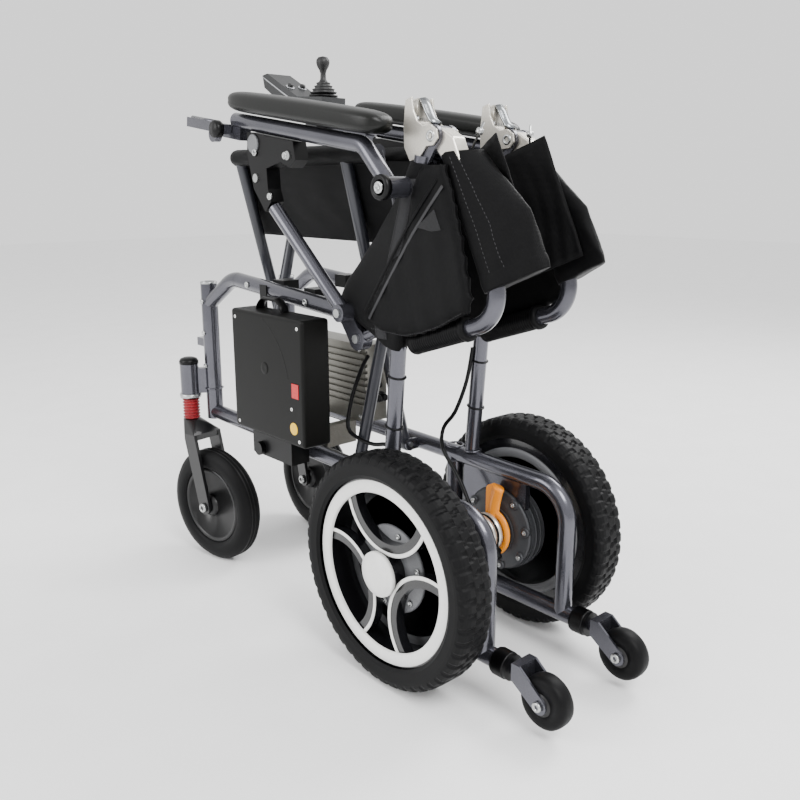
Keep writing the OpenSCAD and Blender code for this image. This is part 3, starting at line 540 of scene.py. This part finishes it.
# Lower back: the cloth hangs from the canes as a deep folded pouch that widens to its hem.
# Its sleeve is sewn round each cane, and a webbing strap runs down its outer face.
knee = Vector((0, -45, 472))
lean = atan2(43, 208)
up_low, rear_low = Vector((0, sin(lean), cos(lean))), Vector((0, cos(lean), -sin(lean)))
depth = ((-34, 36, 22), (-26, 92, 48), (-14, 124, 66), (0, 128, 76), (24, 118, 82), (60, 92, 84),
         (96, 70, 82), (130, 52, 70), (160, 38, 52), (184, 28, 34), (204, 20, 20))
lower_rows = []
for l, outer, inner in depth:
    lower_rows.append([Vector((x, y, l)) for x, y in rounded(
        [(93.5, 2), (91, 12), (80, 15.5), (70, 12), (65, 0), (46, -0.5 * inner), (24, -inner),
         (32, -inner - 8), (58, -(inner + outer) / 2 - 6), (72, -outer), (83, -outer + 3), (91,
                 -0.45 * outer)])])


def lower_point(t, u, s, much=2.0):
    k = t * (len(lower_rows) - 1)
    i = min(int(k), len(lower_rows) - 2)
    n = len(lower_rows[0])
    j = u * n
    a, b = int(j) % n, (int(j) + 1) % n
    f = j - int(j)
    p = (lower_rows[i][a] * (1 - f) + lower_rows[i][b] * f) * (1 - (k - i)) \
        + (lower_rows[i + 1][a] * (1 - f) + lower_rows[i + 1][b] * f) * (k - i)
    swell = crease(1 - t, u, much) * min(1, abs(p[1]) / 40) * min(1, max(0, -p[1] + 4) / 20)
    p = p + Vector((swell, 0, 0))
    q = knee + Vector((p[0] * s, 0, 0)) + rear_low * p[1] + up_low * p[2]
    return at(*q)


for side, s in SIDES:
    sleeve = skin("back_cloth_" + side, [[lower_point(i / 60, k / 96, s) for k in range(96)]
                                         for i in range(61)], woven, None, closed=True, caps=True)
    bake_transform(sleeve)
    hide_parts("back_leaf_" + side)
    # the inner fold goes back towards the centre seam
    tip, way = Vector((22.4, -85.5)), Vector((-0.199, 0.98))
    rows = []
    for i in range(25):
        l = -8 + 204 * i / 24
        rows.append([at(*(knee + Vector(((tip[0] + way[0] * w + crease(i / 24, w / 58, 1.2)) * s, 0, 0))
                          + rear_low * (tip[1] + way[1] * w) + up_low * l))
                     for w in (58 * k / 16 for k in range(17))])
    fold = skin("back_fold_" + side, rows, woven, "back_inner_" + side)
    thick = fold.modifiers.new("cloth", "SOLIDIFY")
    thick.thickness, thick.offset = 0.002, 0
    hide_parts("back_inner_" + side)
    strap_face = [lower_point(t, 0.93, s) + Vector((0.0012 * s, 0, 0)) for t in
                  (0.10 + 0.8 * i / 40 for i in range(41))]
    strap = skin("back_strap_" + side, [[p + Vector((0, w, 0)) for w in (-0.011, 0, 0.011)]
                                        for p in strap_face], mesh_cloth, "back_leaf_" + side)
    strap.modifiers.new("webbing", "SOLIDIFY").thickness = 0.0014
    for k, w in enumerate((-0.0095, 0.0095)):
        stitches(f"strap_seam_{side}_{k}", [p + Vector((0.0006 * s, w, 0)) for p in strap_face[::4]],
                 "back_leaf_" + side)


# Upper back: a flat woven sleeve over each folded cane, doubled back to the centre seam.
# Two stitched seams run down its face, and a hem band closes its lower end.
start = Vector((0, 32, 694))
slope = atan2(94, 197)
down_top, rear_top = Vector((0, sin(slope), -cos(slope))), Vector((0, cos(slope), sin(slope)))
top_section = rounded([(83, -2), (80, -12), (68, -15), (57, -11), (53, 0), (50, 34), (45, 60), (50, 70),
                       (60, 66), (72, 44), (82, 14)])


def top_point(t, u, s, much=1.7):
    n = len(top_section)
    j = u * n
    a, b = top_section[int(j) % n], top_section[(int(j) + 1) % n]
    f = j - int(j)
    x, y = a[0] * (1 - f) + b[0] * f, a[1] * (1 - f) + b[1] * f
    y = y * (0.42 + 0.58 * min(1, t * 1.8)) if y > 0 else y
    flare = 1 + 0.05 * sin(pi * t)
    x = 68 + (x - 68) * flare + crease(t, u, much) * min(1, max(0, y) / 25)
    top = 12 + 14 * min(1, max(0, y) / 40)
    q = start + Vector((x * s, 0, 0)) + rear_top * y + down_top * (top + (184 - top) * t)
    return at(*q)


for side, s in SIDES:
    body = "upper_back_" + side
    sleeve = skin("top_cloth_" + side, [[top_point(i / 60, k / 88, s) for k in range(88)]
                                        for i in range(61)], woven, None, closed=True, caps=True)
    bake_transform(sleeve)
    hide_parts("top_leaf_" + side)
    for k, u in enumerate((0.83, 0.90)):
        seam = stitches(f"top_seam_{side}_{k}", [top_point(i / 30, u, s) for i in range(1, 30)], None)
        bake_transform(seam)
    hem_rows = []
    for i in range(7):
        t = 0.89 + 0.105 * i / 6
        lift = 1.1 * sin(pi * i / 6) + 0.2
        ring_points = [top_point(t, k / 88, s) for k in range(88)]
        middle = sum(ring_points, Vector()) / 88
        hem_rows.append([p + (p - middle).normalized() * (lift / 1000) for p in ring_points])
    hem = skin("top_hem_" + side, hem_rows, woven, None, closed=True)
    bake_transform(hem)
    tip, way = Vector((44, 49)), Vector((-0.30, -0.954))
    rows = []
    for i in range(21):
        l = 12 + 156 * i / 20
        rows.append([at(*(start + Vector(((tip[0] + way[0] * w + crease(i / 20, w / 88, 1.2)) * s, 0, 0))
                          + rear_top * (tip[1] + way[1] * w) + down_top * l))
                     for w in (88 * k / 20 for k in range(21))])
    fold = skin("top_fold_" + side, rows, woven, "top_inner_" + side)
    thick = fold.modifiers.new("cloth", "SOLIDIFY")
    thick.thickness, thick.offset = 0.002, 0
    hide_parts("top_inner_" + side)


# Seat sling: one sheet of the same cloth over the two seat rails, hanging in a deep fold.
# Each rail carries a sewn sleeve, and a grey piping closes the front and rear edges.
piping = surface("grey_piping", "#55555a", "#38383c", 1.5, 0.1, roughness=0.6)
for side, s in SIDES:
    rows = []
    for i in range(49):
        y = -462 + 346 * i / 48
        rows.append([at((56 + (12.6 + 0.5 * sin(i * 0.9 + k)) * cos(2 * pi * k / 28)) * s, y,
                        686.9 + (12.6 + 0.4 * sin(i * 0.7 + 2 * k)) * sin(2 * pi * k / 28)) for k in range(28)])
    wrap = skin("rail_sleeve_" + side, rows, woven, "seat_brace_" + side, closed=True)
    wrap.modifiers.new("cloth", "SOLIDIFY").thickness = 0.0016
    for name, a, b, body, node in (
            ("seat_cloth_", Vector((50, 0, 690)), Vector((11, 0, 565.9)), "seat_leaf_", "seat_leaf_"),
            ("seat_fold_", Vector((11, 0, 565.9)), Vector((6.4, 0, 598)), "seat_inner_", "seat_inner_")):
        d = b - a
        rows = []
        for i in range(60):
            y = -464 + 350 * i / 59
            row = []
            for k in range(22):
                f = k / 21
                p = a + d * f
                bow = 2.2 * sin(pi * f) * sin(i / 59 * pi)
                bow += crease(f, i / 59, 1.5) * sin(pi * min(1, f * 1.1))
                row.append(at((p[0] + bow) * s, y, p[2]))
            rows.append(row)
        cloth = skin(name + side, rows, woven, body + side)
        thick = cloth.modifiers.new("cloth", "SOLIDIFY")
        thick.thickness, thick.offset = 0.0022, 0
        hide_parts(node + side)
        for e, row in (("front", rows[0]), ("rear", rows[-1])):
            rims = []
            for p in row:
                rims.append([p + Vector((0.0022 * cos(g), 0.0022 * sin(g), 0)) for g in
                             (2 * pi * j / 8 for j in range(8))])
            skin(f"{name}{e}_piping_{side}", rims, piping, body + side, closed=True, caps=True)
        if name == "seat_cloth_":
            stitches(f"seat_seam_{side}", [row[3] + Vector((0.0016 * s, 0, 0)) for row in rows[::3]],
                     body + side)


# Armrest pads: integral-skin foam moulded over a steel plate, screwed to the tube from below.
# The skin is soft black with a fine leather-like grain and a parting line along the sides.
pad_skin = surface("integral_skin_foam", "#0e0f0d", "#070806", 2.2, 0.25, roughness=0.36,
                   specular_ior_level=0.25)
arm_slope = atan2(49, 330)
along_arm, up_arm = Vector((0, cos(arm_slope), -sin(arm_slope))), Vector((0, sin(arm_slope), cos(arm_slope)))
for side, s in SIDES:
    base = Vector((117 * s, -70, 694))
    rows = []
    for i in range(65):
        f = i / 32 - 1
        f = f if abs(f) < 1 else f * 0.99999
        end_w = (1 - abs(f) ** 9) ** (1 / 2.6)
        end_h = (1 - abs(f) ** 12) ** (1 / 2.2)
        crown = 1.5 * cos(f * pi / 2)
        row = []
        for k in range(40):
            g = 2 * pi * k / 40
            c, d = cos(g), sin(g)
            x = 26 * end_w * (abs(c) ** 0.62) * (1 if c > 0 else -1)
            z = (14.2 * end_h * (abs(d) ** 0.72) * (1 if d > 0 else -1)) + (crown if d > 0 else 0)
            pinch = 0.6 if abs(d) < 0.12 else 0
            row.append(at(*(base + Vector(((x - pinch * (1 if c > 0 else -1)) * s, 0, 0))
                            + along_arm * (-130 + 169 * f) + up_arm * (27.2 + z))))
        rows.append(row)
    pad = skin("foam_pad_" + side, rows, pad_skin, "armrest_" + side, closed=True, caps=True)
    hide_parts("arm_pad_" + side)
    turned("pivot_cap_" + side, [(0, 15.2), (5, 15.6), (8, 14.6), (8.6, 11), (6.5, 9.5), (6.5, 8.6)],
           at(128.5 * s, -20, 643), (s, 0, 0), nylon, side + "_side", 48)
    screw_head("pivot_bolt_" + side, at(133.5 * s, -20, 643), (s, 0, 0), 7.5, zinc, side + "_side")
    for i, (y, z) in enumerate(((-296, 690), (-222, 684), (-262, 630))):
        screw_head(f"saddle_screw_{side}_{i}", at(128.2 * s, y, z), (s, 0, 0), 5, zinc, side + "_side")
    turned("saddle_disc_" + side, [(0, 13), (2, 13), (3, 12), (3, 4), (2, 0.02)],
           at(128 * s, -300, 702), (s, 0, 0), grey_cover, side + "_side", 40)
    turned("rail_knob_" + side, [(0, 12), (3, 13), (9, 13), (12, 11), (12.5, 0.02)],
           at(139 * s, -371, 724), (s, 0, 0), nylon, "armrest_" + side, 12)
    for i, off in enumerate((0, 9)):
        a = at(132 * s, -384, 734 - off)
        turned(f"arm_rail_edge_{side}_{i}", [(0, 0.02), (0, 3.4), (78, 3.4), (78, 0.02)], a,
               (0, -cos(arm_slope), sin(arm_slope)), frame_coat, "armrest_" + side, 20)


# Back pocket: a deep nylon bag sewn to the rear of the backrest, folded flat beside the canes.
# It is stuffed loosely, so its face bulges; a double strap runs across it, with a mesh corner patch.
def puffed(piece, cap_mm, voxel=0.006):
    """Even out the mesh, then let a little air in, as loose contents do."""
    grid = piece.modifiers.new("even", "REMESH")
    grid.mode, grid.voxel_size, grid.use_smooth_shade = "VOXEL", voxel, True
    bpy.context.view_layer.update()
    even = bpy.data.meshes.new_from_object(piece.evaluated_get(bpy.context.evaluated_depsgraph_get()))
    piece.modifiers.clear()
    piece.data = even
    before = [v.co.copy() for v in even.vertices]
    cloth = piece.modifiers.new("air", "CLOTH")
    cloth.settings.quality = 4
    cloth.settings.use_pressure = True
    cloth.settings.uniform_pressure_force = 4
    cloth.settings.effector_weights.gravity = 0
    for step in range(1, 21):
        bpy.context.scene.frame_set(step)
    blown = piece.evaluated_get(bpy.context.evaluated_depsgraph_get()).data
    after = [v.co.copy() for v in blown.vertices]
    piece.modifiers.clear()
    bpy.context.scene.frame_set(1)
    for v, a, b in zip(piece.data.vertices, before, after):
        move = b - a
        if move.length > cap_mm / 1000:
            move *= cap_mm / 1000 / move.length
        v.co = a + move
    piece.data.shade_smooth()
    return piece


def plate(name, outline, x0, x1, material, body, s, edge=0.8):
    """A flat piece cut to an outline of (back, up) points, with its edges broken."""
    piece = skin(name, [[at(x * s, y, z) for y, z in outline] for x in (x0, x1)], material, body,
                 closed=True, smooth=False, caps=True)
    chamfer = piece.modifiers.new("broken_edges", "BEVEL")
    chamfer.width, chamfer.segments, chamfer.limit_method = edge / 1000, 2, "ANGLE"
    return piece


pocket_outline = [(47, 672), (8, 672), (-12, 652), (-18, 626), (-30, 592), (-58, 548), (-84, 510), (-106,
        473),
                  (-98, 460), (-80, 455), (-21, 452), (12, 461), (44, 473), (90, 497), (95, 515), (86, 552),
                  (77, 586), (60, 640)]
for side, s in SIDES:
    body = side + "_side"
    bag = skin("back_pocket_" + side, [[at(x * s, y, z) for y, z in pocket_outline] for x in (84, 92)],
               woven, None, closed=True, smooth=False, caps=True)
    puffed(bag, 4)
    for v in bag.data.vertices:
        t, u = (v.co[2] - 0.45) / 0.22, (v.co[1] - axle_y) / 0.2
        if v.co[0] * s > 0.089:
            v.co[0] += s * crease(1 - t, u, 1.6) / 1000
    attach(bag, body)
    strap_line = [(42, 648), (18, 622), (-8, 592), (-34, 558), (-62, 520), (-92, 478)]
    for k, shift in enumerate((-5, 5)):
        rows = []
        for y, z in strap_line:
            rows.append([at((96.5 + 0.8 * cos(g)) * s, y + shift + 2.2 * sin(g) * 0.75,
                            z - shift * 0.7 - 2.2 * sin(g) * 0.6)
                         for g in (2 * pi * j / 10 for j in range(10))])
        skin(f"pocket_cord_{side}_{k}", rows, seam_thread if k else woven, body, closed=True, caps=True)
    plate("mesh_patch_" + side, [(34, 618), (4, 596), (30, 592), (46, 594)], 96, 97.4,
          mesh_cloth, body, s, 0.5)
    stitches("pocket_seam_" + side, [at(96.6 * s, y, z) for y, z in ((-84, 462), (-21, 460), (12, 468),
                                     (44, 480), (82, 500))], body)


# Fold joints: cast alloy housings that lock the upper canes, with a sprung steel latch lever.
# A thin eye bolt with a ball nut stands beside each joint and holds the cloth's cord.
spring_steel = surface("bright_spring_steel", "#a3a6a8", "#777a7d", 1.0, 0.03, metallic=1.0, roughness=0.26)
for side, s in SIDES:
    body = "fold_lever_" + side
    for k in (-1, 1):
        rows = []
        for y, z, w in ((-24, 698, 7), (-24, 714, 7), (-22, 730, 6), (-20, 744, 5)):
            rows.append([at((68 + k * 9.6 + 0.9 * cos(g)) * s, y + w * sin(g), z)
                         for g in (2 * pi * j / 16 for j in range(16))])
        skin(f"latch_plate_{side}_{k + 1}", rows, cast_alloy, body, closed=True, caps=True)
    for k, (x0, x1) in enumerate(((83.4, 86.5), (49.5, 52.6))):
        plate(f"joint_housing_{side}_{k}", [(-30, 690), (-31, 716), (-28, 745), (-17, 748), (-14, 733),
                (-7, 720),
                                            (4, 714), (16, 715), (26, 709), (28, 699), (20, 691), (8, 690),
                                            (-4, 676), (-20, 674)], x0, x1, cast_alloy, side + "_side", s)
    plate("joint_block_" + side, [(12, 713), (26, 711), (45, 700), (60, 668), (38, 662), (28, 676), (14,
            690)],
          57.4, 78.6, cast_alloy, "upper_back_" + side, s, 1.5)
    arc_vane("latch_arm_" + side, at(0, 0, 0), 68, [(-15, 746), (-9, 738), (-4, 729), (2, 721), (9, 717)],
            7, 15,
             spring_steel, body, s)
    arc_vane("joint_stop_" + side, at(0, 0, 0), 68, [(16 + 19 * cos(radians(a)), 702 + 19 * sin(radians(a)))
                                                     for a in range(-150, -70, 8)], 7, 18, satin_black,
             "upper_back_" + side, s)
    turned("latch_spring_" + side, [(a, 5.2 + 1.2 * (i % 2)) for i, a in enumerate(
        [j * 1.6 for j in range(14)])], at(57.5 * s, -19, 722), (s, 0, 0), spring_steel, body, 20)
    for i, (y, z, r) in enumerate(((16, 702, 7), (-14, 700, 4.5))):
        for k in (-1, 1):
            screw_head(f"fold_bolt_{side}_{i}_{k + 1}", at((68 + k * 15.4) * s, y, z), (s * k, 0, 0), r, zinc,
                       side + "_side")
    turned("eye_bolt_" + side, [(0, 0.02), (0, 1.5), (17, 1.5), (17, 3.6), (19, 4.6), (22, 4.6), (24, 3.6),
                                (24.5, 1.5), (32, 1.4), (32, 0.02)], at(52 * s, 52, 688), (-s * 0.3, 0.25,
                                        0.9), zinc,
           "upper_back_" + side, 20)


# Battery: two moulded halves of spark-textured ABS with rounded edges and a carrying handle.
# A red rocker switch sits in a recess beside a plain yellow disc; white-headed screws close it.
case_plastic = surface("spark_textured_case", "#0b0b0a", "#060605", 1.3, 0.18, roughness=0.42,
                       specular_ior_level=0.14)
switch_red = surface("red_rocker_moulding", "#c9161c", "#a80f15", 3, 0.02, roughness=0.3)
yellow_disc = surface("yellow_vinyl_disc", "#f0c419", "#d9a90f", 3, 0.02, roughness=0.4)
low, high = [Vector(v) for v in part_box("battery")]
top = high[2] - 0.021
grid = bmesh.new()
bmesh.ops.create_cube(grid, size=1)
for v in grid.verts:
    v.co = Vector((low[0] + (v.co[0] + 0.5) * (high[0] - low[0]),
            low[1] + (v.co[1] + 0.5) * (high[1] - low[1]),
                   low[2] + (v.co[2] + 0.5) * (top - low[2])))
bmesh.ops.bevel(grid, geom=grid.edges[:], offset=0.006, segments=5, profile=0.6, affect="EDGES")
shell = bpy.data.meshes.new("battery_case")
grid.to_mesh(shell)
case = bpy.data.objects.new("battery_case", shell)
shell.materials.append(case_plastic)
bpy.context.scene.collection.objects.link(case)
cutter_mesh = bpy.data.meshes.new("cut")
grid.clear()
sw_low, sw_high = [Vector(v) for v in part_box("battery_switch")]
for a, b in (((high[0] - 0.0085, sw_low[1] - 0.0006, sw_low[2] - 0.0006),
              (high[0] + 0.01, sw_high[1] + 0.0006, sw_high[2] + 0.0006)),
             ((low[0] + 0.022, low[1] - 0.01, low[2] - 0.01), (low[0] + 0.0226, low[1] + 0.0012, top + 0.01)),
             ((low[0] + 0.022, high[1] - 0.0012, low[2] - 0.01), (low[0] + 0.0226, high[1] + 0.01,
                     top + 0.01)),
             ((low[0] + 0.022, low[1] - 0.01, top - 0.0012), (low[0] + 0.0226, high[1] + 0.01, top + 0.01))):
    made = bmesh.ops.create_cube(grid, size=1)["verts"]
    for v in made:
        v.co = Vector([a[i] + (v.co[i] + 0.5) * (b[i] - a[i]) for i in range(3)])
grid.to_mesh(cutter_mesh)
grid.free()
cutter = bpy.data.objects.new("cut", cutter_mesh)
bpy.context.scene.collection.objects.link(cutter)
carve = case.modifiers.new("carve", "BOOLEAN")
carve.object, carve.solver = cutter, "EXACT"
bpy.context.view_layer.update()
cut_case = bpy.data.meshes.new_from_object(case.evaluated_get(bpy.context.evaluated_depsgraph_get()))
case.modifiers.clear()
case.data = cut_case
bpy.data.objects.remove(cutter)
case.data.shade_flat()
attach(case, "battery")
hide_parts("battery")
dress("battery_switch", switch_red)
face = high[0]
mid_y, mid_z = (low[1] + high[1]) / 2, (low[2] + top) / 2
for i, (dy, dz, r, m) in enumerate(((0.0665, -0.066, 9, yellow_disc), (-0.004, 0.012, 9, case_plastic))):
    turned(f"case_disc_{i}", [(0, r), (0.5, r), (0.7, r - 0.5), (0.7, r * 0.45), (0.4, 0.02)],
           Vector((face - 0.0001, mid_y + dy, mid_z + dz)), (1, 0, 0), m, "battery", 40)
for i, (dy, dz) in enumerate(((0.062, -0.038), (0.079, -0.083), (-0.08, 0.08), (-0.08, -0.083), (0.08,
        0.08))):
    screw_head(f"case_screw_{i}", Vector((face - 0.0012, mid_y + dy, mid_z + dz)), (1, 0, 0), 2.6,
               white_trim, "battery")
handle = []
for i in range(33):
    g = i / 32
    y = low[1] + 0.032 + 0.066 * g
    lift = 0.0175 * min(1, 4.2 * min(g, 1 - g)) ** 0.5
    handle.append([Vector((low[0] + 0.016 + 0.0078 * cos(q), y + 0.0005 * sin(q),
                           top - 0.001 + lift + 0.0032 * sin(q)))
                   for q in (2 * pi * k / 16 for k in range(16))])
skin("carrying_handle", handle, nylon, "battery", closed=True, caps=True)
arc = [(118 * cos(radians(a)) - 60, 118 * sin(radians(a)) - 20) for a in range(12, 66, 2)]
arc_vane("case_line", Vector((face - 0.0002, mid_y, mid_z)), 0, arc, 1.4, 0.9, case_plastic, "battery", 1)


# Controller: an extruded aluminium box with cooling fins, bolted to the lower frame tube.
# The natural extrusion is grey with fine lines along the fins; cable glands are black nylon.
fin_metal = surface("extruded_aluminium", "#a5a39b", "#86847d", 1.2, 0.05, metallic=0.85, roughness=0.42)
dress("controller", fin_metal)
for i, (x, z) in enumerate(((-4, 330), (-16, 330), (-4, 352))):
    turned(f"controller_gland_{i}", [(0, 8), (5, 8), (5, 6.5), (12, 6), (16, 4), (16, 0.02)],
           at(x, -198, z), (0, 1, 0), nylon, "left_side", 24)
for i, (y, z) in enumerate(((-338, 404), (-210, 404), (-338, 300), (-210, 300))):
    screw_head(f"controller_screw_{i}", at(12.2, y, z), (1, 0, 0), 3.4, zinc, "left_side")


# Joystick: a moulded grey-black housing on the right armrest with a silver edge line.
# The stick stands in a ribbed rubber boot; two domed rubber buttons sit on the sloping panel.
housing = surface("fine_texture_housing", "#2a2b2d", "#1a1b1c", 1.0, 0.08, roughness=0.46)
boot_rubber = surface("soft_boot_rubber", "#131314", "#0a0a0b", 1.4, 0.06, roughness=0.5)
silver_line = surface("silver_trim", "#c9cacc", "#aeb0b3", 2, 0.02, metallic=0.8, roughness=0.28)
dress("joystick_body", housing)
stick_at = at(-117, -458, 792)
boot = [(-5.5, 16.8), (0, 16.9), (3.4, 17)]
for i in range(4):
    boot += [(4 + i * 5, 22 - i * 3.6), (6.2 + i * 5, 23 - i * 3.6), (7.6 + i * 5, 17.5 - i * 3.2)]
boot += [(24, 7), (27, 5.2), (36, 4.6), (42, 6.4), (47, 9.6), (53, 11.4), (58, 11), (62, 8), (64, 0.02)]
stick = turned("stick_and_boot", boot, stick_at, (0, 0, 1), boot_rubber, "joystick_stick", 48)
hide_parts("joystick_stick")
turned("boot_rim", [(0, 21), (0, 24.5), (3, 24), (3.4, 22), (2.4, 20.2), (0, 20)],
       stick_at + Vector((0, 0, -0.001)), (0, 0.05, 1), nylon, "armrest_right", 48)
slope_up = Vector((0, sin(radians(27)), cos(radians(27))))
first = True
for k in (-1, 1):
    p = at(-117 - k * 13, -540, 806)
    dome = turned(f"dome_button_{k + 1}", [(3, 4.9), (11.5, 4.9), (12.6, 4.2), (13, 0.02)], p, slope_up,
                  boot_rubber, "joystick_buttons", 28)
    turned(f"button_ring_{k + 1}", [(0, 6), (0, 8), (0.9, 8), (1.2, 7.4), (1.2, 6)],
           p + slope_up * 0.0065, slope_up, silver_line, "armrest_right", 28)
    if first:
        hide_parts("joystick_buttons")
        first = False
for k in (-1, 1):
    path = [at(-117 + k * 25.3, y, z) for y, z in ((-432, 775), (-500, 781), (-545, 803), (-592, 827),
            (-604, 834))]
    rows = [[p + Vector((0.0007 * cos(g), 0, 0.0014 * sin(g))) for g in (2 * pi * j / 8 for j in range(8))]
            for p in path]
    skin(f"silver_line_{k + 1}", rows, silver_line, "armrest_right", closed=True, caps=True)
